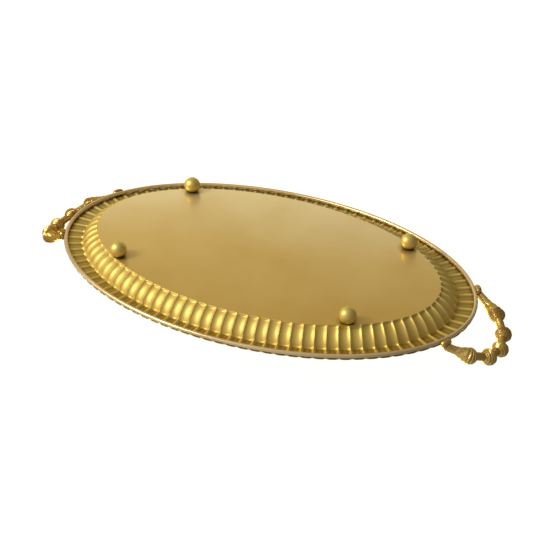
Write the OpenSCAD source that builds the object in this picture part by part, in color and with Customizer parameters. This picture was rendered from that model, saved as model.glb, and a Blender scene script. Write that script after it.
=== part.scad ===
// Oval brass serving tray with a fluted wall and flange, a wire rim,
// two cast handles with ribbed knots, and four ball feet.
// +Z is up, +X runs to the right-hand handle, and the feet stand on z = 0.

/* [Tray outline] */
// Length of the crest line, where the wall meets the flange
crest_len = 405.4; // [380:0.2:420]
// Width of the crest line
crest_wid = 253; // [230:0.2:270]
// Length of the rim wire's centre line
rim_len = 440; // [430:0.2:460]
// Width of the rim wire's centre line
rim_wid = 280; // [272:0.2:300]
// Thickness of the pressed sheet
sheet_t = 1; // [0.8:0.1:1.4]

/* [Wall] */
// How far the wall spreads outward from floor to crest
wall_run = 17.8; // [12:0.1:24]
// Height of the crest above the floor, both on the underside
wall_rise = 15.2; // [10:0.1:24]
// How far the wall bellies outward from a straight slope
wall_belly = 2.6; // [0:0.1:4]

/* [Flutes] */
// Number of flutes round the tray
flute_count = 92; // [60:1:92]
// Depth of a flute on the wall
wall_flute = 1.8; // [0.5:0.1:3]
// Depth of a flute at the flange's outer edge
edge_flute = 0.8; // [0.3:0.1:1.5]
// Place of the first ridge, as a fraction of one flute
flute_phase = 0.4; // [0:0.05:1]

/* [Rim] */
// Diameter of the rim wire
wire_d = 4; // [3:0.1:6]
// How far the flange reaches past the wire's centre line
edge_reach = 1; // [0.4:0.1:1.6]
// Drop of the flange from crest to edge
flange_drop = 0.4; // [0:0.1:3]

/* [Feet] */
// Diameter of a ball foot
ball_d = 17; // [14:0.5:24]
// Height of the cap cut off each ball, where it seats on the floor
ball_seat = 1.3; // [0.8:0.1:2]
// Distance between the feet along the tray
feet_len = 251; // [200:1:270]
// Distance between the feet across the tray
feet_wid = 148; // [110:1:156]

/* [Foot screws] */
// Diameter of the screw's thread
screw_d = 3; // [2.5:0.1:4]
// Diameter of the screw's countersunk head
screw_head_d = 5.6; // [5:0.1:7]
// Length of the screw, head included
screw_len = 10; // [6:0.5:11]

/* [Handles] */
// Distance between the two ends of one handle
handle_span = 95; // [80:1:110]
// How far both ends sit toward the front, off the handle's middle
handle_skew = 4.5; // [0:0.5:8]
// How far the middle knot stands out from the rim
handle_reach = 40.5; // [32:0.5:50]
// Angle at which the right-hand handle rises outward
right_tilt = 31; // [15:0.5:40]
// Angle at which the left-hand handle rises outward
left_tilt = 33.5; // [15:0.5:40]
// Distance between the first knot and the last
knot_span = 77; // [60:1:90]
// Largest diameter of a knot
knot_d = 17.5; // [14:0.5:20]
// Length of a knot along the handle
knot_len = 13; // [9:0.5:14]
// Diameter of the neck between two knots
neck_d = 8.6; // [7:0.2:10]
// Diameter of an arm where it leaves the rim
arm_d = 6; // [5:0.2:7]

/* [Hidden] */
$fn = 48;
brass = [0.78, 0.63, 0.33];
cast_brass = [0.70, 0.50, 0.26];
pale_brass = [0.82, 0.72, 0.45];

floor_z = ball_d - ball_seat;
crest_z = floor_z + wall_rise;
edge_z = crest_z - flange_drop;
wire_z = edge_z - wire_d / 2;
columns_per_flute = 4;
columns = columns_per_flute * flute_count;

// Points of the crest line, its outward normal, and its length so far at each angle.
arc_steps = 720;
function crest_point(t) = [crest_len / 2 * cos(t), crest_wid / 2 * sin(t)];
function unit(v) = v / norm(v);
function crest_normal(t) = unit([cos(t) / crest_len, sin(t) / crest_wid]);
function arc_step(i) = norm(crest_point((i + 1) * 360 / arc_steps) - crest_point(i * 360 / arc_steps));
arc_table = [for (i = 0, s = 0; i <= arc_steps; s = s + arc_step(i), i = i + 1) [s, i * 360 / arc_steps]];
crest_length = arc_table[arc_steps][0];

// Angle on the crest line of a place counted in flutes, with the flutes evenly spaced along the line.
function flute_angle(f) = lookup((f - flute_count * floor(f / flute_count)) / flute_count * crest_length,
                                 arc_table);

// Distance from the crest to the rim wire's centre line, out along the crest's normal.
function quadratic(a, b, c) = (-b + sqrt(b * b - 4 * a * c)) / (2 * a);
function rim_offset(t) =
    let (p = crest_point(t), n = crest_normal(t), la = rim_len / 2, lb = rim_wid / 2)
    quadratic(pow(n[0] / la, 2) + pow(n[1] / lb, 2),
              2 * (p[0] * n[0] / (la * la) + p[1] * n[1] / (lb * lb)),
              pow(p[0] / la, 2) + pow(p[1] / lb, 2) - 1);

// A point at an angle round the tray, an offset out from the crest line and a height.
function place(t, offset, z) =
    let (q = crest_point(t) + offset * crest_normal(t))
    [q[0], q[1], z];

// The wall's underside in section, u from 0 at the floor to 1 at the crest: [offset, height].
wall_chord = norm([wall_run, wall_rise]);
function wall_section(u) =
    [wall_run * (u - 1), floor_z + wall_rise * u]
    + 4 * u * (1 - u) * wall_belly * [wall_rise, -wall_run] / wall_chord;
function wall_normal(u) =
    let (d = [wall_run, wall_rise] + 4 * (1 - 2 * u) * wall_belly * [wall_rise, -wall_run] / wall_chord)
    unit([-d[1], d[0]]);
flange_normal = [0, 1];
crest_miter = unit(wall_normal(1) + flange_normal) / cos(acos(wall_normal(1) * flange_normal) / 2);

// Cross section of a flute: 0 on a ridge, 1 along the middle.
function flute_wave(f) = 1 - pow(2 * (f - floor(f)) - 1, 2);

// Where the fluted ring is rooted inside the floor's thickness.
root_offset = -wall_run - 3;
root_inset = 0.3;
start_u = 0.03;
wall_stations = [0.15, 0.55];

// Section of the pan at one column: out along the top, then back along the underside.
function side_points(t, wave, lift) =
    let (w = rim_offset(t) + edge_reach)
    concat(
        [wall_section(start_u) + wall_normal(start_u) * lift],
        [for (u = wall_stations) wall_section(u) + wall_normal(u) * (wall_flute * wave + lift)],
        [[0, crest_z] + crest_miter * (wall_flute * wave + lift)],
        [[w, edge_z] + flange_normal * (edge_flute * wave + lift)]);
function reversed(list) = [for (i = [len(list) - 1 : -1 : 0]) list[i]];
function pan_section(t, wave) = concat(
    [[root_offset, floor_z + sheet_t - root_inset]],
    side_points(t, wave, sheet_t),
    reversed(side_points(t, wave, 0)),
    [[root_offset, floor_z + root_inset]]);

// A closed ring of equal sections, joined into one solid.
module ring(sections) {
    rows = len(sections);
    size = len(sections[0]);
    polyhedron(
        points = [for (s = sections) for (p = s) p],
        faces = [for (i = [0 : rows - 1]) for (j = [0 : size - 1])
            let (a = i * size, b = ((i + 1) % rows) * size, k = (j + 1) % size)
            [a + j, b + j, b + k, a + k]],
        convexity = 8);
}

module fluted_ring() {
    ring([for (c = [0 : columns - 1])
        let (f = c / columns_per_flute, t = flute_angle(f + flute_phase))
        [for (s = pan_section(t, flute_wave(f))) place(t, s[0], s[1])]]);
}

// The floor's plate ends just inside the wall.
plate_offset = 0.4 - wall_run;
plate_points = 180;
module floor_plate() {
    translate([0, 0, floor_z])
        linear_extrude(sheet_t)
            polygon([for (i = [0 : plate_points - 1])
                let (t = i * 360 / plate_points, q = place(t, plate_offset, 0))
                [q[0], q[1]]]);
}

// A countersunk screw, head up, its top at the origin.
head_depth = (screw_head_d - screw_d) / 2;
module screw_shape(grow) {
    translate([0, 0, -head_depth])
        cylinder(h = head_depth, d1 = screw_d + grow, d2 = screw_head_d + grow);
    translate([0, 0, -screw_len])
        cylinder(h = screw_len, d = screw_d + grow);
}

module at_feet() {
    for (x = [-1, 1])
        for (y = [-1, 1])
            translate([x * feet_len / 2, y * feet_wid / 2, 0])
                children();
}

screw_top = floor_z + sheet_t - 0.05;
screw_gap = 0.1;
module tray_pan() {
    color(brass)
        difference() {
            union() {
                floor_plate();
                fluted_ring();
            }
            at_feet()
                translate([0, 0, screw_top + 0.05])
                    screw_shape(2 * screw_gap);
        }
}

// The rim wire lies under the flange's ridges.
wire_columns = 184;
wire_sides = 12;
wire_clearance = 0.05;
module rim_wire() {
    color(pale_brass)
        ring([for (c = [0 : wire_columns - 1])
            let (t = 360 * c / wire_columns, w = rim_offset(t))
            [for (k = [0 : wire_sides - 1])
                let (a = -360 * k / wire_sides)
                place(t, w + wire_d / 2 * cos(a), wire_z - wire_clearance + wire_d / 2 * sin(a))]]);
}

// A ball with a flat seat under the floor and a blind hole for its screw.
module ball_foot(x, y) {
    color(brass)
        translate([x * feet_len / 2, y * feet_wid / 2, 0])
            difference() {
                translate([0, 0, ball_d / 2])
                    sphere(d = ball_d);
                translate([0, 0, floor_z])
                    cylinder(h = ball_d, d = 2 * ball_d);
                translate([0, 0, screw_top])
                    screw_shape(2 * screw_gap);
            }
}

slot_width = 0.8;
slot_depth = 0.7;
module foot_screws() {
    color(pale_brass)
        at_feet()
            translate([0, 0, screw_top])
                difference() {
                    screw_shape(0);
                    translate([-screw_head_d, -slot_width / 2, -slot_depth])
                        cube([2 * screw_head_d, slot_width, 2 * slot_depth]);
                }
}

// Handles. Each end sits on the rim wire's outer side; the knots lie in a plane that rises outward,
// a little steeper on the left, as they were set by hand.
pad_d = 6.8;
pad_len = 12;
pad_gap = 0.05;
pad_rise = 0.8;
post_d = 6.4;
post_rise = 3.8;
elbow_d = 6.8;
end_y = [handle_span / 2 - handle_skew, -handle_span / 2 - handle_skew];
function rim_place(y) = [rim_len / 2 * sqrt(1 - pow(y / (rim_wid / 2), 2)), y, wire_z];
function rim_tangent(y) = unit([-y * pow(rim_len / rim_wid, 2), rim_place(y)[0], 0]);
function rim_normal(y) = [rim_tangent(y)[1], -rim_tangent(y)[0], 0];
function pad_center(y) = rim_place(y) + rim_normal(y) * (wire_d / 2 + pad_d * 0.38) + [0, 0, pad_rise];
function elbow(y) = pad_center(y) + [0, 0, post_rise];
plane_inset = 8;
plane_drop = 1;
function handle_point(reach, y, tilt) =
    [rim_len / 2 - plane_inset + reach, y, wire_z - plane_drop + reach * tan(tilt)];
knot_places = [[0.55, 1], [0.885, 0.56], [1, 0], [0.885, -0.56], [0.55, -1]];
function knot_line(tilt) =
    [for (k = knot_places) handle_point(handle_reach * k[0], knot_span / 2 * k[1], tilt)];

// Puts its children's Z axis along a direction, from a point.
module along(p, d) {
    translate(p)
        rotate([0, acos(d[2] / norm(d)), atan2(d[1], d[0])])
            children();
}

module bar(p, q, d1, d2) {
    along(p, q - p)
        cylinder(h = norm(q - p), d1 = d1, d2 = d2);
}

// A knot: a barrel with three raised rings.
ring_count = 3;
ring_height = 0.5;
knot_points_half = 12;
function knot_radius(s) = neck_d / 2 + (knot_d - neck_d) / 2 * pow(cos(90 * s), 0.7)
    + ring_height * (cos(180 * ring_count * s) - 1) / 2;
module knot(p, d) {
    along(p, d)
        rotate_extrude()
            polygon(concat(
                [[0, -knot_len / 2]],
                [for (i = [-knot_points_half : knot_points_half])
                    let (s = i / knot_points_half)
                    [knot_radius(s), s * knot_len / 2]],
                [[0, knot_len / 2]]));
}

// An arm: a trumpet that widens from its elbow to the middle of the first knot.
flare_d = 15;
arm_steps = 8;
module handle_arm(from, to) {
    along(from, to - from)
        rotate_extrude()
            polygon(concat(
                [[0, 0]],
                [for (i = [0 : arm_steps])
                    let (s = i / arm_steps)
                    [arm_d / 2 + (flare_d - arm_d) / 2 * s * s, s * norm(to - from)]],
                [[0, norm(to - from)]]));
}

// The pad that hugs the rim wire at one end of a handle, and the short post that carries the arm.
module pad(y) {
    along(pad_center(y) - rim_tangent(y) * pad_len / 2, rim_tangent(y))
        cylinder(h = pad_len, d = pad_d);
    translate(pad_center(y))
        cylinder(h = post_rise, d = post_d);
    translate(elbow(y))
        sphere(d = elbow_d);
}

module wire_cut(y) {
    along(rim_place(y) - rim_tangent(y) * pad_len, rim_tangent(y))
        cylinder(h = 2 * pad_len, d = wire_d + 2 * pad_gap);
}

module handle_solid(tilt) {
    knot_points = knot_line(tilt);
    color(cast_brass)
        difference() {
            union() {
                handle_arm(elbow(end_y[0]), knot_points[0]);
                handle_arm(elbow(end_y[1]), knot_points[4]);
                knot(knot_points[0], knot_points[1] - elbow(end_y[0]));
                knot(knot_points[4], elbow(end_y[1]) - knot_points[3]);
                for (i = [1 : 3])
                    knot(knot_points[i], knot_points[i + 1] - knot_points[i - 1]);
                for (i = [0 : 3])
                    bar(knot_points[i], knot_points[i + 1], neck_d, neck_d);
                for (y = end_y)
                    pad(y);
            }
            for (y = end_y)
                wire_cut(y);
        }
}

module handle_right() {
    handle_solid(right_tilt);
}

module handle_left() {
    mirror([1, 0, 0])
        handle_solid(left_tilt);
}

module foot_front_right() {
    ball_foot(1, -1);
}

module foot_front_left() {
    ball_foot(-1, -1);
}

module foot_back_right() {
    ball_foot(1, 1);
}

module foot_back_left() {
    ball_foot(-1, 1);
}

tray_pan();
rim_wire();
handle_right();
handle_left();
foot_front_right();
foot_front_left();
foot_back_right();
foot_back_left();
foot_screws();
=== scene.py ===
import math

import bmesh
import bpy
import numpy as np
from mathutils import Matrix, Vector, geometry


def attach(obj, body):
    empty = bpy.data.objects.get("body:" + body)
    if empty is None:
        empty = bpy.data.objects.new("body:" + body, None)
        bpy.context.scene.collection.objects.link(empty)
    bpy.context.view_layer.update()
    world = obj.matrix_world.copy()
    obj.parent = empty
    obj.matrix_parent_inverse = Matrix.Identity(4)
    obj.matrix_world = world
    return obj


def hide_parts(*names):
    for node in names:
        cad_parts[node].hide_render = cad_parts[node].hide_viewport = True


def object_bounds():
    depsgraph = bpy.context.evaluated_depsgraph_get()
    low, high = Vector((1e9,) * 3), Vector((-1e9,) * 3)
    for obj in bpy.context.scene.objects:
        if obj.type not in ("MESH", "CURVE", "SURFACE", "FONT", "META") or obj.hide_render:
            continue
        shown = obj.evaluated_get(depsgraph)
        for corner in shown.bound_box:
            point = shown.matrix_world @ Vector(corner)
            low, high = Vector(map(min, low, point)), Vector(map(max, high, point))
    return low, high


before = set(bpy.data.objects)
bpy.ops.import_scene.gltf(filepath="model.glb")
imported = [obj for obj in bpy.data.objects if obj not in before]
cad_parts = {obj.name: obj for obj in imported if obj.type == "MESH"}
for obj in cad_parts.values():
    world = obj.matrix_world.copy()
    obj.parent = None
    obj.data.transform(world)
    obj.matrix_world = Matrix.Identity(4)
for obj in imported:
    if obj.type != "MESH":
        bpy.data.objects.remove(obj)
cad_low, cad_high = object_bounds()
MM = 0.001
TURN = 2 * math.pi
UPWARD = np.array([0.0, 0.0, 1.0])

# ---------------------------------------------------------------- sizes, in mm, as part.scad has them
# Half the length and half the width of the crest line, where wall and flange meet, and of the rim wire.
CREST = np.array([405.4, 253.0]) / 2
RIM = np.array([440.0, 280.0]) / 2
SHEET = 1.0
# The wall spreads by its run and climbs by its rise, and bellies outward from a straight slope.
WALL_RUN, WALL_RISE, BELLY = 17.8, 15.2, 2.6
# How many flutes there are, how deep they are on the wall and at the edge, and where the first ridge is.
FLUTES, WALL_FLUTE, EDGE_FLUTE, PHASE = 92, 1.8, 0.8, 0.4
# The flange reaches past the wire's centre line, and drops a little from the crest to its edge.
WIRE_D, WIRE_GAP, EDGE_REACH, FLANGE_DROP = 4.0, 0.05, 1.0, 0.4
BALL_D, BALL_SEAT = 17.0, 1.3
# Half the distance between the feet along the tray and across it.
FEET = np.array([251.0, 148.0]) / 2
FOOT_PLACES = [(x, y) for x in (-FEET[0], FEET[0]) for y in (-FEET[1], FEET[1])]
FLOOR_Z = BALL_D - BALL_SEAT
CREST_Z = FLOOR_Z + WALL_RISE
EDGE_Z = CREST_Z - FLANGE_DROP
WIRE_Z = EDGE_Z - WIRE_D / 2
# Radii of the screws' countersunk holes at the floor's two sides.
HOLE_TOP, HOLE_UNDER = 2.9, 1.9


# ---------------------------------------------------------------- helpers for points and meshes
def unit(v):
    v = np.asarray(v, float)
    return v / np.linalg.norm(v, axis=-1, keepdims=True)


def lengths_along(points):
    """Distance from the first point to each point, along the line that they make."""
    return np.concatenate([[0], np.cumsum(np.linalg.norm(np.diff(points, axis=0), axis=1))])


def around(count):
    """Evenly spaced angles round a full turn."""
    return np.linspace(0, TURN, count + 1)[:-1]


def rising(value, start, span):
    """0 up to start, 1 from a span above it, and a straight slope between."""
    return np.clip((value - start) / span, 0, 1)


def curve(start, corner, finish, share):
    """A point of the bend from start to finish that is pulled toward a corner."""
    return (1 - share) ** 2 * start + 2 * share * (1 - share) * corner + share * share * finish


def in_scene(name, data):
    """A new object of the scene, around a mesh, a camera or a light."""
    ob = bpy.data.objects.new(name, data)
    bpy.context.scene.collection.objects.link(ob)
    return ob


def mesh_object(name, points, faces):
    """A smooth-shaded object from points in mm and its faces."""
    mesh = bpy.data.meshes.new(name)
    mesh.from_pydata((np.asarray(points, float) * MM).tolist(), [], faces)
    mesh.polygons.foreach_set("use_smooth", [True] * len(mesh.polygons))
    mesh.update()
    return in_scene(name, mesh)


def grid_faces(rows, cols, close_rows=False):
    """Quads over closed rings of points that are numbered ring by ring."""
    row, col = np.meshgrid(np.arange(rows if close_rows else rows - 1), np.arange(cols), indexing="ij")
    next_row = (row + 1) % rows
    next_col = (col + 1) % cols
    corners = [row * cols + col, next_row * cols + col, next_row * cols + next_col, row * cols + next_col]
    return np.stack(corners, -1).reshape(-1, 4).tolist()


def loft(rings, ends):
    """A closed skin over rings of points, drawn to a point at both ends."""
    rings = np.asarray(rings)
    rows, cols = rings.shape[:2]
    faces = grid_faces(rows, cols)
    base = rows * cols
    last = base - cols
    faces += [(base, (k + 1) % cols, k) for k in range(cols)]
    faces += [(base + 1, last + k, last + (k + 1) % cols) for k in range(cols)]
    return np.concatenate([rings.reshape(-1, 3), np.asarray(ends)]), faces


def joined(pieces):
    """One list of points and one of faces, from several pieces of points and faces."""
    points, faces, base = [], [], 0
    for piece_points, piece_faces in pieces:
        points.append(piece_points)
        faces += [tuple(i + base for i in face) for face in piece_faces]
        base += len(piece_points)
    return np.concatenate(points), faces


def tidy(ob):
    """Welds doubled points and turns every face outward."""
    bm = bmesh.new()
    bm.from_mesh(ob.data)
    bmesh.ops.remove_doubles(bm, verts=bm.verts, dist=1e-6)
    bmesh.ops.recalc_face_normals(bm, faces=bm.faces)
    bm.to_mesh(ob.data)
    bm.free()
    return ob


# ---------------------------------------------------------------- the oval
def crest_point(angle):
    return np.stack([CREST[0] * np.cos(angle), CREST[1] * np.sin(angle)], -1)


def crest_normal(angle):
    return unit(np.stack([np.cos(angle) / CREST[0], np.sin(angle) / CREST[1]], -1))


ANGLES = np.linspace(0, TURN, 7201)
CREST_LENGTHS = lengths_along(crest_point(ANGLES))


def angle_at(flute):
    """Angle of a place counted in flutes, evenly spaced along the crest line."""
    return np.interp(np.mod(flute, FLUTES) / FLUTES * CREST_LENGTHS[-1], CREST_LENGTHS, ANGLES)


def rim_offset(angle):
    """Distance along the crest's normal to the wire's centre line, from a quadratic equation."""
    point = crest_point(angle) / RIM
    normal = crest_normal(angle) / RIM
    a = (normal * normal).sum(-1)
    b = 2 * (point * normal).sum(-1)
    c = (point * point).sum(-1) - 1
    return (-b + np.sqrt(b * b - 4 * a * c)) / (2 * a)


def place(angle, offset, height):
    """Points at an offset outward from the crest line and at a height."""
    flat = crest_point(angle) + offset[..., None] * crest_normal(angle)
    return np.concatenate([flat, np.broadcast_to(height, offset.shape)[..., None]], -1)


# ---------------------------------------------------------------- the pan's section: [offset, height]
CHORD = math.hypot(WALL_RUN, WALL_RISE)
SLOPE = np.array([WALL_RUN, WALL_RISE])
SIDEWAYS = np.array([WALL_RISE, -WALL_RUN])
FLANGE_UP = np.array([0.0, 1.0])


def wall_at(share):
    """The wall's underside along a ridge, at a share of the way from the floor to the crest."""
    share = np.asarray(share, float)[..., None]
    straight = np.concatenate([WALL_RUN * (share - 1), FLOOR_Z + WALL_RISE * share], -1)
    return straight + 4 * share * (1 - share) * BELLY * SIDEWAYS / CHORD


def wall_up(share):
    """The direction square to the wall there, toward the serving side."""
    share = np.asarray(share, float)[..., None]
    along = SLOPE + 4 * (1 - 2 * share) * BELLY * SIDEWAYS / CHORD
    return unit(np.stack([-along[..., 1], along[..., 0]], -1))


def raised(share, depth):
    """The wall's line at a depth above its ridges."""
    return wall_at(share) + wall_up(share) * depth


SHARES = np.linspace(0, 1, 401)
WALL_LENGTHS = lengths_along(wall_at(SHARES))
WALL_LEN = WALL_LENGTHS[-1]
# How the corner between wall and flange moves for each mm of depth.
BISECTOR = unit(wall_up(1.0) + FLANGE_UP)
MITER = BISECTOR / math.cos(math.acos(float(wall_up(1.0) @ FLANGE_UP)) / 2)


def wall_share(length):
    """The share of the wall that lies a length in mm from the floor's edge."""
    return np.interp(length, WALL_LENGTHS, SHARES)


# Stations along the wall from the floor's edge, in mm: close together where a channel's rounded end is.
WALL_PLACES = np.array([0.35, 0.55, 0.8, 1.1, 1.45, 1.85, 2.3, 2.95, 4.0, 6.0, 8.5, 11.0, 13.5, 16.0, 18.2])
# How far the last station lies from those toward the place where the bend starts.
LAST_SHARE = 0.45
# Where that rounded end starts, and how long it is.
NICHE_START, NICHE_LEN = 0.35, 2.6
# The bend into the flange starts this far from the corner, in mm, on a ridge and in a channel.
RIDGE_BEND, CHANNEL_BEND = 2.4, 1.5
# How many stations lie round the bend, and where those on the flange lie, as shares of the way to its edge.
CORNER_STEPS = 8
FLANGE_STEPS = np.array([0.30, 0.52, 0.74, 0.92])
# The floor's flat border and its gentle bend into the wall, as offsets in mm from the crest line. The
# bend ends a little way up the wall.
BORDER_OFFSETS = (-WALL_RUN - 4.0, -WALL_RUN - 1.2)
BEND_START, BEND_CORNER, BEND_FINISH = -WALL_RUN - 0.7, -WALL_RUN - 0.1, 0.3
BEND_STEPS = (0, 0.3, 0.6, 0.85)
FLOOR_ROWS = len(BORDER_OFFSETS) + len(BEND_STEPS)
# How far inward and upward, in mm, each ring of the sheet's rounded edge lies.
EDGE_ROUNDING = ((0.35, 0.0), (0.08, 0.12), (0.0, 0.5), (0.08, 0.88), (0.35, 1.0))


def station_line(width, bend, wall_depth, flange_depth):
    """The section from the floor's edge to the sheet's edge at one depth: (stations, columns, 2)."""
    count = len(width)
    last = WALL_LEN - bend
    places = np.append(WALL_PLACES, (1 - LAST_SHARE) * WALL_PLACES[-1] + LAST_SHARE * last)
    rows = [np.broadcast_to(point, (count, 2)) for point in raised(wall_share(places), wall_depth)]
    start = raised(wall_share(last), wall_depth)
    corner = np.array([0.0, CREST_Z]) + MITER * wall_depth
    edge = np.stack([width, np.full(count, EDGE_Z + flange_depth)], -1)
    share = (bend / width)[:, None]
    finish = corner * (1 - share) + edge * share
    rows += [curve(start, corner, finish, k) for k in np.linspace(0, 1, CORNER_STEPS)]
    rows += [finish * (1 - k) + edge * k for k in FLANGE_STEPS]
    return np.stack(rows)


def pan_side(angle, width, depth, lift):
    """One side of the sheet as rings of points, from the floor's border out to the edge."""
    height = FLOOR_Z + lift
    start = np.array([BEND_START, height])
    corner = np.array([BEND_CORNER, height])
    finish = raised(wall_share(BEND_FINISH), lift)
    floor = [np.array([offset, height]) for offset in BORDER_OFFSETS]
    floor += [curve(start, corner, finish, k) for k in BEND_STEPS]
    floor = np.stack([np.broadcast_to(point, (len(angle), 2)) for point in floor])
    ridge = station_line(width, RIDGE_BEND, lift, lift)
    channel = station_line(width, CHANNEL_BEND, lift + WALL_FLUTE, lift + EDGE_FLUTE)
    rows = np.concatenate([floor, ridge + (channel - ridge) * depth[..., None]])
    return np.stack([place(angle, row[:, 0], row[:, 1]) for row in rows])


# ---------------------------------------------------------------- the flutes
# Columns of one flute, from ridge to ridge.
LOCAL = np.array([0, 0.03, 0.065, 0.11, 0.18, 0.30, 0.5, 0.70, 0.82, 0.89, 0.935, 0.97])
# A ridge's radius, the power that shapes a channel's bottom, and how much the flutes' depth varies.
SHARP, BOTTOM, UNEVEN = 0.12, 2.5, 0.06
# The lower ridge along the middle of a flange channel: its share of the channel's depth, and its width as
# a share of half a flute.
SECOND_RIDGE, SECOND_WIDTH = 0.38, 0.22


def rounded(wave):
    """Rounds a wave off near 0, so that the ridges have a radius."""
    return (np.sqrt(wave * wave + SHARP ** 2) - SHARP) / (math.sqrt(1 + SHARP ** 2) - SHARP)


def middle_ridge(across):
    """1 along a channel's middle, falling off smoothly to both sides."""
    return np.exp(-(across / SECOND_WIDTH) ** 2)


def channel_depth(flute, across):
    """Depth at every station of the section and at the edge: 0 on a ridge, 1 along a channel."""
    # hand-finished flutes aren't all equally deep
    scatter = np.random.default_rng(11).standard_normal(FLUTES)
    uneven = 1 + UNEVEN * np.interp(flute, np.arange(FLUTES + 1), np.append(scatter, scatter[0]))
    uneven = np.clip(uneven, 0.85, 1.1)
    profile = np.abs(across) ** BOTTOM
    wave = rounded(1 - profile) * uneven
    # each channel starts at a rounded end beside the floor; the last station is far past it
    niche = np.append(np.clip((NICHE_START + NICHE_LEN - WALL_PLACES) / NICHE_LEN, 0, 1), 0)
    wall = [rounded(np.clip(1 - profile - rise ** BOTTOM, 0, 1)) * uneven for rise in niche]
    flange = wave * (1 - SECOND_RIDGE * middle_ridge(across))
    bend = [wave] * (CORNER_STEPS - 2) + [0.5 * (wave + flange)]
    return np.stack(wall + bend + [flange] * (len(FLANGE_STEPS) + 1)), wave


# Painted light, stored at each point: 0.5 where the sheet is plain, more where a painted highlight brightens
# it, and less where painted shade darkens it.
CROWN_HIGHLIGHT, CHANNEL_SHADE, RIDGE_LINE_SHADE, LEFT_END_SHADE = 0.5, 0.3, 0.42, 0.22
# How strongly the painted highlights and painted shade toward the right handle show on the rows before the
# wall, and how many mm up the wall they end.
FLOOR_FADE = (0, 0, 0, 0, 0.4, 0.8)
WALL_FADE = 12


def pan_painted_light(across, angle, rows):
    """Painted highlights and painted shade at each point of the pan's rings, the same on both sides of the
    sheet.
    """
    shoulder = np.abs(across)
    # the flange: from the bend outward its ridges get painted highlights and its channels painted shade
    outward = np.clip(np.linspace(0, 1, CORNER_STEPS + len(FLANGE_STEPS)) * 1.6 - 0.3, 0, 1)
    ridges = rising(shoulder, 0.5, 0.38) + 0.5 * middle_ridge(across)
    flange = outward[:, None] * (ridges - 0.5)[None, :]
    side = np.zeros((rows, len(angle)))
    side[-len(outward):] = flange
    # the wall: painted highlights on the ridges near the floor toward the right handle and painted shade in
    # the channels between them, thin lines of painted shade along the other ridges, and painted shade over a
    # stretch at the left end
    crown = rising(shoulder, 0.7, 0.2)
    line = rising(shoulder, 0.78, 0.16)
    right_end = rising(np.cos(angle), 0.35, 0.4)
    dull = rising(-np.cos(angle), 0.5, 0.35)
    fade = np.concatenate([FLOOR_FADE, np.clip(1 - WALL_PLACES / WALL_FADE, 0, 1), [0]])
    side[:len(fade)] = fade[:, None] * (right_end * (CROWN_HIGHLIGHT * crown - CHANNEL_SHADE * (1 - crown)))[None, :]
    painted_wall_shade = RIDGE_LINE_SHADE * (1 - right_end) * line + LEFT_END_SHADE * dull * (1 - line)
    side[FLOOR_ROWS:len(fade)] -= painted_wall_shade[None, :]
    edge = np.repeat(flange[-1:], len(EDGE_ROUNDING), 0)
    return 0.5 + np.concatenate([side, edge, side[::-1]])


def pan_rings():
    """The pan's rings of points: out along the underside, round the edge, back along the top."""
    flute = (np.arange(FLUTES)[:, None] + LOCAL[None, :]).reshape(-1)
    # -1 and 1 on the ridges, 0 along the channel's middle
    across = 2 * np.mod(flute, 1) - 1
    angle = angle_at(flute + PHASE)
    width = rim_offset(angle) + EDGE_REACH
    depth, wave = channel_depth(flute, across)
    under = pan_side(angle, width, depth, 0.0)
    top = pan_side(angle, width, depth, SHEET)
    edge = [place(angle, width - inward, EDGE_Z + EDGE_FLUTE * wave + upward)
            for inward, upward in EDGE_ROUNDING]
    return np.concatenate([under, np.stack(edge), top[::-1]]), pan_painted_light(across, angle, len(under))


# ---------------------------------------------------------------- the pan's floor
HOLE_SIDES = 24
FLOOR_STEP = 14.0
# Rings of points round each hole, as multiples of its radius, and how far they are turned against it.
HOLE_RINGS, RING_TURN = (1.35, 2.2), 0.13
# A hole's straight sides stay farther than this from its middle, as a share of its radius.
HOLE_INSIDE = 0.985
# How far in mm the floor's inner points stay from its edge, first as a grid and then as an oval inside
# that grid, and from the feet's middles.
BORDER_CLEAR, OVAL_CLEAR, FOOT_CLEAR = 6, 3, 8


def circle(centre, radius, angles):
    """Points of a circle in the floor's plane."""
    return [(centre[0] + radius * math.cos(k), centre[1] + radius * math.sin(k)) for k in angles]


def floor_points():
    """Points spread over the floor, away from its border and its holes."""
    reach = CREST - WALL_RUN - BORDER_CLEAR
    points = []
    for x in np.arange(-reach[0], reach[0], FLOOR_STEP):
        for y in np.arange(-reach[1], reach[1], FLOOR_STEP):
            inside = (x / (reach[0] - OVAL_CLEAR)) ** 2 + (y / (reach[1] - OVAL_CLEAR)) ** 2 <= 1
            clear = math.hypot(abs(x) - FEET[0], abs(y) - FEET[1]) >= FOOT_CLEAR
            if inside and clear:
                # a slight sway, so that no four points make a perfect square
                points.append((x + 0.01 * math.sin(7 * y), y))
    return points


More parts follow.
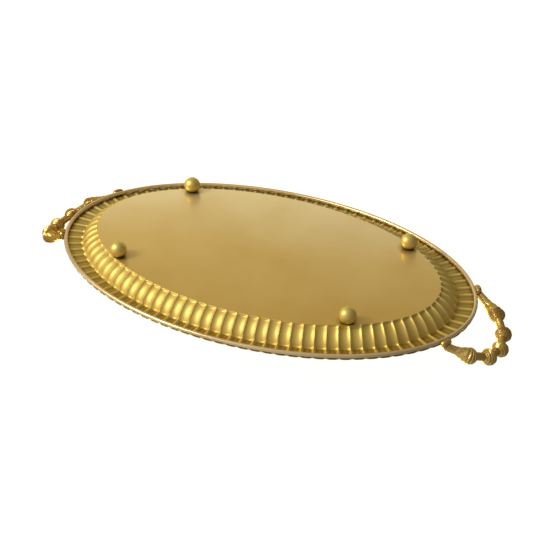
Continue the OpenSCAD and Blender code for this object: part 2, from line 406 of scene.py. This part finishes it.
def oval_floor(border, height, hole):
    """Points and triangles of the flat floor inside a border, with four round holes."""
    outline = [tuple(point[:2]) for point in border]
    points = list(outline)
    edges = [(i, (i + 1) % len(outline)) for i in range(len(outline))]
    angles = around(HOLE_SIDES)
    for foot in FOOT_PLACES:
        base = len(points)
        points += circle(foot, hole, angles)
        edges += [(base + i, base + (i + 1) % HOLE_SIDES) for i in range(HOLE_SIDES)]
        for grow in HOLE_RINGS:
            points += circle(foot, hole * grow, angles[::2] + RING_TURN)
    points += floor_points()
    made = geometry.delaunay_2d_cdt([Vector(point) for point in points], edges, [], 0, 1e-5)
    flat = np.array([tuple(point) for point in made[0]])
    outline = np.array(outline)
    triangles = []
    for face in made[2]:
        middle = flat[list(face)].mean(0)
        in_hole = any(math.dist(middle, foot) < hole * HOLE_INSIDE for foot in FOOT_PLACES)
        nearest = np.argmin(((outline - middle) ** 2).sum(1))
        before = outline[nearest - 1]
        along = outline[(nearest + 1) % len(outline)] - before
        inward = middle - before
        outside = along[0] * inward[1] - along[1] * inward[0] < -1e-9
        if not in_hole and not outside:
            triangles.append(tuple(face))
    return np.column_stack([flat, np.full(len(flat), height)]), triangles


def hole_wall(foot):
    """The countersunk side of one screw hole, from the underside to the top."""
    rings = [np.column_stack([circle(foot, radius, around(HOLE_SIDES)), np.full(HOLE_SIDES, height)])
             for radius, height in ((HOLE_UNDER, FLOOR_Z), (HOLE_TOP, FLOOR_Z + SHEET))]
    return np.concatenate(rings), grid_faces(2, HOLE_SIDES)


def build_pan():
    """The whole pressed sheet, with its painted highlights and painted shade as an attribute for the
    material.
    """
    rings, painted_light = pan_rings()
    rows, cols = rings.shape[:2]
    pieces = [(rings.reshape(-1, 3), grid_faces(rows, cols)),
              oval_floor(rings[0], FLOOR_Z, HOLE_UNDER),
              oval_floor(rings[-1], FLOOR_Z + SHEET, HOLE_TOP)]
    pieces += [hole_wall(foot) for foot in FOOT_PLACES]
    pan = mesh_object("tray_pan_fluted", *joined(pieces))
    values = np.full(len(pan.data.vertices), 0.5, np.float32)
    values[:rows * cols] = painted_light.reshape(-1)
    pan.data.attributes.new("painted_light", "FLOAT", "POINT").data.foreach_set("value", values)
    return tidy(pan)


# ---------------------------------------------------------------- the rim wire
WIRE_COLUMNS, WIRE_SIDES = 736, 24


def build_wire():
    """The round wire under the flange's edge."""
    angle = around(WIRE_COLUMNS)
    middle = rim_offset(angle)
    radius = WIRE_D / 2
    rings = np.stack([place(angle, middle + radius * math.cos(k), WIRE_Z - WIRE_GAP + radius * math.sin(k))
                      for k in around(WIRE_SIDES)])
    faces = grid_faces(WIRE_SIDES, WIRE_COLUMNS, close_rows=True)
    return tidy(mesh_object("rim_wire_round", rings.reshape(-1, 3), faces))


# ---------------------------------------------------------------- the handles
# The handle's plane starts inside the rim and below the wire, and rises outward by its tilt.
REACH, KNOT_SPAN, PLANE_INSET, PLANE_DROP = 40.5, 77.0, 8.0, 1.0
TILT_RIGHT, TILT_LEFT = math.radians(31), math.radians(33.5)
SPAN, SKEW = 95.0, 4.5
END_Y = (SPAN / 2 - SKEW, -SPAN / 2 - SKEW)
# The pad on the wire: its diameter and length, how far its middle lies above the wire's, the share of its
# diameter by which it stands off the wire, and the height of the post on it.
PAD_D, PAD_LEN, PAD_RISE, PAD_OUT, POST_RISE = 6.8, 12.0, 0.8, 0.38, 3.8
# Each knot's share of the reach, and of half the knots' span.
KNOT_PLACES = ((0.55, 1.0), (0.885, 0.56), (1.0, 0.0), (0.885, -0.56), (0.55, -1.0))
# Distance in mm between points of the middle line, and points on each side that round a corner.
LINE_STEP, SMOOTHING = 0.26, 12
BAR_SIDES, PAD_SIDES = 56, 28

# Radii of the neck between two knots, of a stalk where it leaves its elbow, and of its flared end.
NECK_R, STALK_R, FLARE_R = 3.9, 3.1, 7.0
# The flare ends this far in mm before the knot's middle and has this power. Past that end comes the lip,
# and the last part of the stalk is nowhere thinner than the neck; both are shares of its length.
FLARE_BACK, FLARE_POWER, LIP, LAST_PART = 3.8, 2.2, 0.05, 0.8
# The leaves' height as a share of the stalk's radius, their number, and their turn in radians for each mm.
LEAF_HEIGHT, LEAVES, LEAF_TWIST = 0.07, 3, 0.9
# A knot's radius on its outer side, on its inner side and square to the handle's plane, half its length,
# and its barrel's power.
KNOT_OUT, KNOT_IN, KNOT_SIDE, KNOT_HALF, KNOT_POWER = 9.0, 7.9, 7.6, 6.3, 0.62
# The barrels of the four outer knots sit this far toward the handle's middle.
KNOT_LEAN = 0.8
# The grooves between a knot's ribs: their spacing, their depth, and the power that narrows them.
GROOVE_PITCH, GROOVE_DEPTH, GROOVE_POWER = 2.15, 1.05, 1.3

# How the pad's ends thin out and draw in, and the radii of the post that spreads onto it.
PAD_POWER, PAD_DRAW = 3.2, 0.5
POST_R, POST_SPREAD, SPREAD_POWER, POST_THIN = 3.15, 2.2, 1.6, 0.3


def outward_from(tangent):
    """The level direction out of the tray, square to the rim's direction."""
    return np.array([tangent[1], -tangent[0], 0])


def oval_ring(angles, across, up):
    """Points round an oval, from its two half axes as vectors."""
    return np.cos(angles)[:, None] * across + np.sin(angles)[:, None] * up


def handle_end(y):
    """The pad's middle at one end of a handle, the rim's direction there, and the arm's elbow above it."""
    x = RIM[0] * math.sqrt(1 - (y / RIM[1]) ** 2)
    tangent = unit([-y * (RIM[0] / RIM[1]) ** 2, x, 0])
    pad = np.array([x, y, WIRE_Z + PAD_RISE]) + outward_from(tangent) * (WIRE_D / 2 + PAD_D * PAD_OUT)
    return pad, tangent, pad + POST_RISE * UPWARD


def handle_path(tilt):
    """The handle's middle line from elbow to elbow, its corners rounded, and the places along it of its
    two elbows and five knots."""
    nodes = [handle_end(END_Y[0])[2]]
    for out, side in KNOT_PLACES:
        nodes.append([RIM[0] - PLANE_INSET + REACH * out, KNOT_SPAN / 2 * side,
                      WIRE_Z - PLANE_DROP + REACH * out * math.tan(tilt)])
    nodes = np.array(nodes + [handle_end(END_Y[1])[2]])
    places = lengths_along(nodes)
    steps = np.linspace(0, places[-1], int(places[-1] / LINE_STEP))
    line = np.stack([np.interp(steps, places, nodes[:, k]) for k in range(3)], -1)
    window = np.ones(2 * SMOOTHING + 1) / (2 * SMOOTHING + 1)
    for _ in range(2):
        # each end is continued by its own mirror image, so that it stays in place
        before = 2 * line[:1] - line[SMOOTHING:0:-1]
        after = 2 * line[-1:] - line[-2:-SMOOTHING - 2:-1]
        longer = np.concatenate([before, line, after])
        line = np.stack([np.convolve(longer[:, k], window, "valid") for k in range(3)], -1)
    return line, places


def barrel(along, middle):
    """1 at a knot's middle, 0 from half its length away, rounded like a barrel.
    along is the distance along the bar."""
    return np.cos(np.clip(np.abs(along - middle) / KNOT_HALF, 0, 1) * math.pi / 2) ** KNOT_POWER


def with_stalk(radius, along, angles, end, knot):
    """The bar's radius with a plain stalk from its end, which flares into a lip just before a knot."""
    share = np.abs(along - end) / (abs(knot - end) - FLARE_BACK)
    trumpet = STALK_R + (FLARE_R - STALK_R) * np.clip(share, 0, 1) ** FLARE_POWER
    lip = np.clip((1 + LIP - share) / LIP, 0, 1) ** 0.5
    # shallow leaves turn around the stalk
    turn = LEAVES * angles[None, :] + along[:, None] * LEAF_TWIST
    leaf = LEAF_HEIGHT * np.sin(turn) * np.clip(1 + LIP - share, 0, 1)[:, None] ** 0.5
    stalk = np.maximum(NECK_R * (share > LAST_PART), trumpet * lip)[:, None] * (1 + leaf)
    return np.where((share < 1 + LIP)[:, None], stalk, radius)


def handle_bar(tilt):
    """The handle's bar from elbow to elbow, with its stalks and its five ribbed knots."""
    line, places = handle_path(tilt)
    plane_up = np.array([-math.sin(tilt), 0, math.cos(tilt)])
    along = lengths_along(line)
    along *= places[-1] / along[-1]
    out = unit(np.cross(unit(np.gradient(line, axis=0)), plane_up))
    out *= np.sign(((line - line.mean(0)) * out).sum(1))[:, None]
    angles = around(BAR_SIDES)
    radius = np.full((len(along), BAR_SIDES), NECK_R)
    radius = with_stalk(radius, along, angles, 0.0, places[1])
    radius = with_stalk(radius, along, angles, places[-1], places[5])
    # an oval knot is fuller on its outer side, and ringed all the way round
    cosine = np.cos(angles)[None, :]
    sine = np.sin(angles)[None, :]
    oval = 1 / np.sqrt((cosine / np.where(cosine > 0, KNOT_OUT, KNOT_IN)) ** 2 + (sine / KNOT_SIDE) ** 2)
    for middle, lean in zip(places[1:6], (1, 1, 0, -1, -1)):
        fill = barrel(along, middle + KNOT_LEAN * lean)[:, None]
        wave = np.abs(np.sin(math.pi * (along - middle) / GROOVE_PITCH))
        groove = np.clip(1 - wave, 0, 1)[:, None] ** GROOVE_POWER
        # the grooves are shallower at a knot's two ends
        groove = groove * np.clip(fill * 1.6, 0, 1)
        radius = np.maximum(radius, NECK_R + (oval - NECK_R) * fill - GROOVE_DEPTH * groove)
    spokes = cosine[..., None] * out[:, None, :] + sine[..., None] * plane_up[None, None, :]
    return loft(line[:, None, :] + radius[..., None] * spokes, [line[0], line[-1]])


def pad_saddle(pad, tangent):
    """The rounded bar along the rim wire, its ends thinning out where the braze runs off."""
    out = outward_from(tangent)
    angles = around(PAD_SIDES)
    rings = []
    for share in np.linspace(-1, 1, 27)[1:-1]:
        radius = PAD_D / 2 * (1 - abs(share) ** PAD_POWER) ** 0.5
        centre = pad + tangent * share * PAD_LEN / 2 - out * PAD_DRAW * abs(share) ** 2
        rings.append(centre + radius * oval_ring(angles, out, UPWARD))
    half = tangent * PAD_LEN / 2
    return loft(rings, [pad - half - out * PAD_DRAW, pad + half - out * PAD_DRAW])


def post(pad, tangent, elbow):
    """The short post that spreads onto the pad, with the elbow's round top."""
    out = outward_from(tangent)
    angles = around(PAD_SIDES)
    rings = []
    for share in np.linspace(0, 1, 9):
        wide = POST_R + POST_SPREAD * (1 - share) ** SPREAD_POWER
        deep = POST_R - POST_THIN * (1 - share)
        rings.append(pad + (elbow - pad) * share + oval_ring(angles, tangent * wide, out * deep))
    for rise in np.linspace(0, math.pi / 2, 9)[1:-1]:
        ring = math.cos(rise) * oval_ring(angles, tangent, out)
        rings.append(elbow + POST_R * (ring + math.sin(rise) * UPWARD))
    return loft(rings, [pad, elbow + POST_R * UPWARD])


def build_handle(name, side, tilt):
    """A whole handle; side is 1 on the right, and -1 mirrors it to the left."""
    pieces = [handle_bar(tilt)]
    for y in END_Y:
        pad, tangent, elbow = handle_end(y)
        pieces += [pad_saddle(pad, tangent), post(pad, tangent, elbow)]
    points, faces = joined(pieces)
    points[:, 0] *= side
    return tidy(mesh_object(name, points, faces))


pan = build_pan()
wire = build_wire()
handle_right = build_handle("handle_right_cast", 1, TILT_RIGHT)
handle_left = build_handle("handle_left_cast", -1, TILT_LEFT)


# ---------------------------------------------------------------- helpers for node trees
def empty_tree(holder):
    """The node tree of a material or world, with nothing in it."""
    holder.use_nodes = True
    holder.node_tree.nodes.clear()
    return holder.node_tree


def node(tree, kind, inputs=(), **settings):
    """A new node. Each input is a number or colour, or the output that it is linked to."""
    made = tree.nodes.new(kind)
    for key, value in settings.items():
        setattr(made, key, value)
    for key, value in dict(inputs).items():
        if isinstance(value, bpy.types.NodeSocket):
            tree.links.new(value, made.inputs[key])
        else:
            made.inputs[key].default_value = value
    return made


def calculated(tree, operation, *values):
    """The result of one step of arithmetic on numbers and outputs."""
    return node(tree, "ShaderNodeMath", dict(enumerate(values)), operation=operation).outputs[0]


def part_of(tree, vector, axis):
    """One of a vector's three numbers."""
    return node(tree, "ShaderNodeSeparateXYZ", {0: vector}).outputs[axis]


def mapped(tree, value, low, high, to_low=0.0, to_high=1.0):
    """A value moved from one range to another, and kept inside it."""
    limits = {"From Min": low, "From Max": high, "To Min": to_low, "To Max": to_high}
    return node(tree, "ShaderNodeMapRange", {"Value": value, **limits}).outputs["Result"]


def noise(tree, vector, scale, detail, roughness):
    inputs = {"Vector": vector, "Scale": scale, "Detail": detail, "Roughness": roughness}
    return node(tree, "ShaderNodeTexNoise", inputs).outputs["Fac"]


def bump(tree, height, distance, strength=1.0, **below):
    """A bump in metres; below may hold the Normal that it is laid over."""
    inputs = {"Height": height, "Distance": distance, "Strength": strength, **below}
    return node(tree, "ShaderNodeBump", inputs).outputs["Normal"]


def ramp_of(tree, value, stops):
    """A colour ramp fed by a value, from (position, colour) pairs."""
    made = node(tree, "ShaderNodeValToRGB", {"Fac": value})
    points = made.color_ramp.elements
    for point, (position, colour) in ((points[0], stops[0]), (points[1], stops[-1])):
        point.position = position
        point.color = (*colour, 1)
    for position, colour in stops[1:-1]:
        points.new(position).color = (*colour, 1)
    return made.outputs["Color"]


def mixed(tree, first, second, factor, blend="MULTIPLY"):
    """The mix of two colours, which are outputs or red, green and blue."""
    first, second = [(*c, 1) if isinstance(c, tuple) else c for c in (first, second)]
    inputs = {"A": first, "B": second, "Factor": factor}
    return node(tree, "ShaderNodeMix", inputs, data_type="RGBA", blend_type=blend).outputs["Result"]


# ---------------------------------------------------------------- brass
WHITE = (1.0, 1.0, 1.0)
# Scale, detail and roughness of the noises for tarnish, grain and spots; a casting's skin has its own scale.
CLOUDS, GRAIN, SPOTS = (14.0, 5.0, 0.55), (900.0, 4.0, 0.6), (120.0, 6.0, 0.7)
SKIN_DETAIL, SKIN_ROUGHNESS = 2.0, 0.5
# Heights in metres of the bumps that the tarnish and the grain make, and how much of the grain's shows.
CLOUD_HEIGHT, GRAIN_HEIGHT, GRAIN_STRENGTH = 0.0002, 0.00003, 0.25
# A painted sheen on the floor's underside, lighter and whiter toward one end and darker toward the other, as
# light
# falls across it: how fast it changes along x and y, per metre, its colours from one end to the other, and
# the tint and added roughness of the rest of the sheet.
SHEEN_X, SHEEN_Y = 1.0, 4.0
PAINTED_SHEEN = ((0.0, (0.93, 0.85, 0.62)), (0.5, (1.03, 1.01, 0.96)), (1.0, (1.18, 1.38, 2.2)))
SLOPE_TINT = (0.93, 0.96, 0.76)
SLOPE_ROUGHNESS = 0.14
# Painted shade on the flange's underside starts at the first of these heights and is full from the second,
# in metres.
FLANGE_SHADE_HEIGHTS, FLANGE_SHADE_TINT = (0.0292, 0.0300), (0.64, 0.64, 0.42)
# Colour factors of the pan's painted light: painted shade toward 0, none at 0.5, whitish painted highlights
# toward 1.
PAINTED_LIGHT_TINTS = ((0.0, (0.62, 0.58, 0.48)), (0.5, WHITE), (1.0, (1.7, 1.8, 2.4)))
SPECKS = ((0.28, (0.80, 0.72, 0.58)), (0.40, WHITE))


def sheet_painted_light(tree, at, colour):
    """The pan's painted sheen, painted shade and painted highlights: its colour with them, and its extra
    roughness off the floor's underside.
    """
    # -1 where the surface faces straight down
    facing = part_of(tree, at["Normal"], "Z")
    # a painted sheen on the floor, lighter and whiter toward one side of the tray and darker toward the
    # other, as light falls on it
    across = calculated(tree, "MULTIPLY", part_of(tree, at["Object"], "Y"), -SHEEN_Y)
    place_in_sheen = calculated(tree, "MULTIPLY_ADD", part_of(tree, at["Object"], "X"), -SHEEN_X, across)
    painted_sheen = ramp_of(tree, mapped(tree, place_in_sheen, -0.5, 0.5), PAINTED_SHEEN)
    flat = mapped(tree, facing, -0.88, -0.985)
    colour = mixed(tree, colour, mixed(tree, SLOPE_TINT, painted_sheen, flat, "MIX"), 1.0)
    # painted shade darkens the flange's underside
    low = mapped(tree, part_of(tree, at["Object"], "Z"), *FLANGE_SHADE_HEIGHTS)
    down = mapped(tree, facing, -0.62, -0.86)
    colour = mixed(tree, colour, FLANGE_SHADE_TINT, calculated(tree, "MULTIPLY", low, down))
    # the pan's painted highlights and painted shade, read from the attribute that build_pan stores
    painted_light = node(tree, "ShaderNodeAttribute", attribute_name="painted_light")
    colour = mixed(tree, colour, ramp_of(tree, painted_light.outputs["Fac"], PAINTED_LIGHT_TINTS), 1.0)
    # the floor's underside is the smoothest part
    return colour, mapped(tree, flat, 0.0, 1.0, SLOPE_ROUGHNESS, 0.0)


def brass(name, base, dark, pale, rough, spread=0.06, metal=0.8, grazing=None, specks=0.35, hollow_shade=None,
          hollow_shade_reach=0.004, sheet=False, dents=None):
    """Satin brass: cloudy tarnish, spots in its colour and gloss, a fine grain, and painted shade in its
    hollows.
    rough varies by spread. grazing is the tint of glancing light. hollow_shade is the tint of the painted
    shade in hollows whose sides are within hollow_shade_reach metres. dents is the scale and depth of a
    casting's uneven skin."""
    material = bpy.data.materials.new(name)
    tree = empty_tree(material)
    at = node(tree, "ShaderNodeTexCoord").outputs
    cloud = noise(tree, at["Object"], *CLOUDS)
    grain = noise(tree, at["Object"], *GRAIN)
    spots = noise(tree, at["Object"], *SPOTS)
    colour = ramp_of(tree, cloud, ((0.28, dark), (0.5, base), (0.72, pale)))
    roughness = mapped(tree, spots, 0.3, 0.7, rough - spread, rough + spread)
    if sheet:
        colour, extra = sheet_painted_light(tree, at, colour)
        roughness = calculated(tree, "ADD", roughness, extra)
    colour = mixed(tree, colour, ramp_of(tree, spots, SPECKS), specks)
    # painted shade: the colour darkens toward the hollows' tint where ambient occlusion finds surfaces close
    # by
    if hollow_shade:
        open_sky = node(tree, "ShaderNodeAmbientOcclusion", {"Distance": hollow_shade_reach}).outputs["AO"]
        colour = mixed(tree, colour, ramp_of(tree, open_sky, ((0.30, hollow_shade), (0.85, WHITE))), 1.0)
    surface = bump(tree, cloud, CLOUD_HEIGHT)
    if dents:
        skin = noise(tree, at["Object"], dents[0], SKIN_DETAIL, SKIN_ROUGHNESS)
        surface = bump(tree, skin, dents[1], Normal=surface)
    surface = bump(tree, grain, GRAIN_HEIGHT, GRAIN_STRENGTH, Normal=surface)
    shader = node(tree, "ShaderNodeBsdfPrincipled", {
        "Base Color": colour, "Roughness": roughness, "Normal": surface, "Metallic": metal,
        "Specular Tint": (*(grazing or pale), 1)})
    node(tree, "ShaderNodeOutputMaterial", {"Surface": shader.outputs[0]})
    return material


# The tints of hollows below are painted shade: they darken the flutes, the floor round the feet, the wire
# along the flange, the grooves of the handles and the balls where they meet the floor.
sheet_brass = brass("sheet_brass", (0.84, 0.57, 0.17), (0.79, 0.52, 0.14), (0.88, 0.61, 0.20), 0.33,
                    spread=0.04, metal=0.6, grazing=(0.90, 0.72, 0.40), specks=0.2,
                    hollow_shade=(0.40, 0.38, 0.24), hollow_shade_reach=0.010, sheet=True)
wire_brass = brass("wire_brass", (0.84, 0.61, 0.29), (0.70, 0.49, 0.22), (0.93, 0.71, 0.38), 0.32,
                   hollow_shade=(0.55, 0.45, 0.32))
cast_brass = brass("cast_brass", (0.66, 0.40, 0.10), (0.36, 0.20, 0.04), (0.86, 0.58, 0.19), 0.25,
                   metal=1.0, grazing=(0.60, 0.38, 0.12), specks=0.8, hollow_shade=(0.16, 0.10, 0.04),
                   dents=(330.0, 0.0006))
ball_brass = brass("ball_brass", (0.84, 0.62, 0.165), (0.76, 0.55, 0.13), (0.90, 0.68, 0.22), 0.44,
                   hollow_shade=(0.16, 0.14, 0.07), hollow_shade_reach=0.012)
screw_brass = brass("screw_brass", (0.80, 0.62, 0.26), (0.68, 0.50, 0.18), (0.86, 0.70, 0.36), 0.32)

for piece, node_name, slot, material in (
        (pan, "tray_pan", "sheet_brass", sheet_brass), (wire, "rim_wire", "wire_brass", wire_brass),
        (handle_right, "handle_right", "cast_brass", cast_brass),
        (handle_left, "handle_left", "cast_brass", cast_brass)):
    piece.data.materials.clear()
    piece.data.materials.append(material)
    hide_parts(node_name)
    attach(piece, "root")
for node_name in ("foot_front_right", "foot_front_left", "foot_back_right", "foot_back_left", "foot_screws"):
    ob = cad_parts[node_name]
    material = screw_brass if node_name == "foot_screws" else ball_brass
    for slot in ob.material_slots:
        slot.material = material


# ---------------------------------------------------------------- camera
# Fitted to the photograph: where the eye is, in mm, the direction it looks in, the level direction toward
# the picture's right, and a slight roll in radians.
EYE = np.array([552.5, 1073.5, -735.1])
FORWARD = unit([-0.3778, -0.7507, 0.5420])
LEVEL = unit([0.8932, -0.4496, 0.0])
ROLL = 0.0084
# The fitted focal length is in pixels of a frame 550 wide; the camera's is in mm of its sensor.
FOCAL_PIXELS, FRAME_WIDTH, SENSOR_WIDTH = 1415.9, 550, 36.0

above = unit(np.cross(LEVEL, FORWARD))
camera_right = LEVEL * math.cos(ROLL) + above * math.sin(ROLL)
camera_up = -LEVEL * math.sin(ROLL) + above * math.cos(ROLL)
camera_data = bpy.data.cameras.new("camera")
camera_data.sensor_width = SENSOR_WIDTH
camera_data.lens = FOCAL_PIXELS / FRAME_WIDTH * SENSOR_WIDTH
camera_data.clip_start = 0.05
camera_data.clip_end = 60
camera = in_scene("camera", camera_data)
camera.rotation_mode = "QUATERNION"
camera.rotation_quaternion = Matrix(np.array([camera_right, camera_up, -FORWARD]).T.tolist()).to_quaternion()
camera.location = (EYE * MM).tolist()
bpy.context.scene.camera = camera


# ---------------------------------------------------------------- floors and light
def one_sided(name, height, faces_up, tone, glow):
    """A large pale floor that shows from one side only, so the tray can be seen from above and below."""
    # half of its side, in metres
    half = 12.0
    corners = [(-half, -half, height), (half, -half, height), (half, half, height), (-half, half, height)]
    mesh = bpy.data.meshes.new(name)
    mesh.from_pydata(corners, [], [(0, 1, 2, 3) if faces_up else (3, 2, 1, 0)])
    ob = in_scene(name, mesh)
    material = bpy.data.materials.new(name)
    tree = empty_tree(material)
    matt = node(tree, "ShaderNodeBsdfDiffuse", {"Color": (tone, tone, tone, 1)})
    light = node(tree, "ShaderNodeEmission", {"Color": (1, 1, 1, 1), "Strength": glow})
    front = node(tree, "ShaderNodeAddShader", {0: matt.outputs[0], 1: light.outputs[0]})
    clear = node(tree, "ShaderNodeBsdfTransparent")
    behind = node(tree, "ShaderNodeNewGeometry").outputs["Backfacing"]
    shader = node(tree, "ShaderNodeMixShader", {"Fac": behind, 1: front.outputs[0], 2: clear.outputs[0]})
    node(tree, "ShaderNodeOutputMaterial", {"Surface": shader.outputs[0]})
    mesh.materials.append(material)
    for ray in ("visible_shadow", "visible_glossy", "visible_diffuse", "visible_transmission"):
        setattr(ob, ray, False)


def area_light(name, position, target, size, power):
    """A rectangular light in metres and watts that shines from a position toward a target."""
    data = bpy.data.lights.new(name, "AREA")
    data.shape = "RECTANGLE"
    data.size, data.size_y = size
    data.energy = power
    ob = in_scene(name, data)
    ob.location = position
    ob.rotation_mode = "QUATERNION"
    ob.rotation_quaternion = (Vector(target) - Vector(position)).to_track_quat("-Z", "Y")
    ob.visible_camera = False


# The direction in which the studio is brightest, and its greys from the dimmest side to the brightest.
BRIGHT_SIDE = (-0.75, 0.40, 0.35)
STUDIO_GREYS = ((0.0, 0.17), (0.25, 0.18), (0.475, 0.25), (0.59, 0.36), (0.685, 0.43), (0.86, 0.58),
                (1.0, 0.74))


def studio():
    """The world round the tray: bright on the picture's left, dim on its right, alike above and below."""
    world = bpy.data.worlds.new("studio")
    bpy.context.scene.world = world
    tree = empty_tree(world)
    at = node(tree, "ShaderNodeTexCoord").outputs["Generated"]
    height = calculated(tree, "ABSOLUTE", part_of(tree, at, "Z"))
    mirrored = node(tree, "ShaderNodeCombineXYZ", {
        "X": part_of(tree, at, "X"), "Y": part_of(tree, at, "Y"), "Z": height})
    toward = node(tree, "ShaderNodeVectorMath", {0: mirrored.outputs[0], 1: BRIGHT_SIDE},
                  operation="DOT_PRODUCT")
    share = mapped(tree, toward.outputs["Value"], -1.0, 1.0)
    greys = [(position, (grey, grey, grey)) for position, grey in STUDIO_GREYS]
    back = node(tree, "ShaderNodeBackground", {"Color": ramp_of(tree, share, greys)})
    node(tree, "ShaderNodeOutputWorld", {"Surface": back.outputs[0]})


one_sided("floor_below", 0.0, True, 0.75, 0.15)
one_sided("floor_above", cad_high[2] + 0.0005, False, 0.20, 0.95)
# the key light comes from below and from the picture's left, card_far is a weak one past the tray's far
# side, and key_top lights the serving side
area_light("key_under", (-0.992, 0.784, -0.976), (0, 0, 0.02), (0.5, 0.5), 14.5)
area_light("card_far", (-0.22, -0.52, -0.13), (0, 0, 0.0), (1.1, 0.25), 0.5)
area_light("key_top", (-0.9, -1.0, 1.5), (0, 0, 0.03), (1.0, 1.0), 40)
studio()
bpy.context.scene.view_settings.view_transform = "Standard"
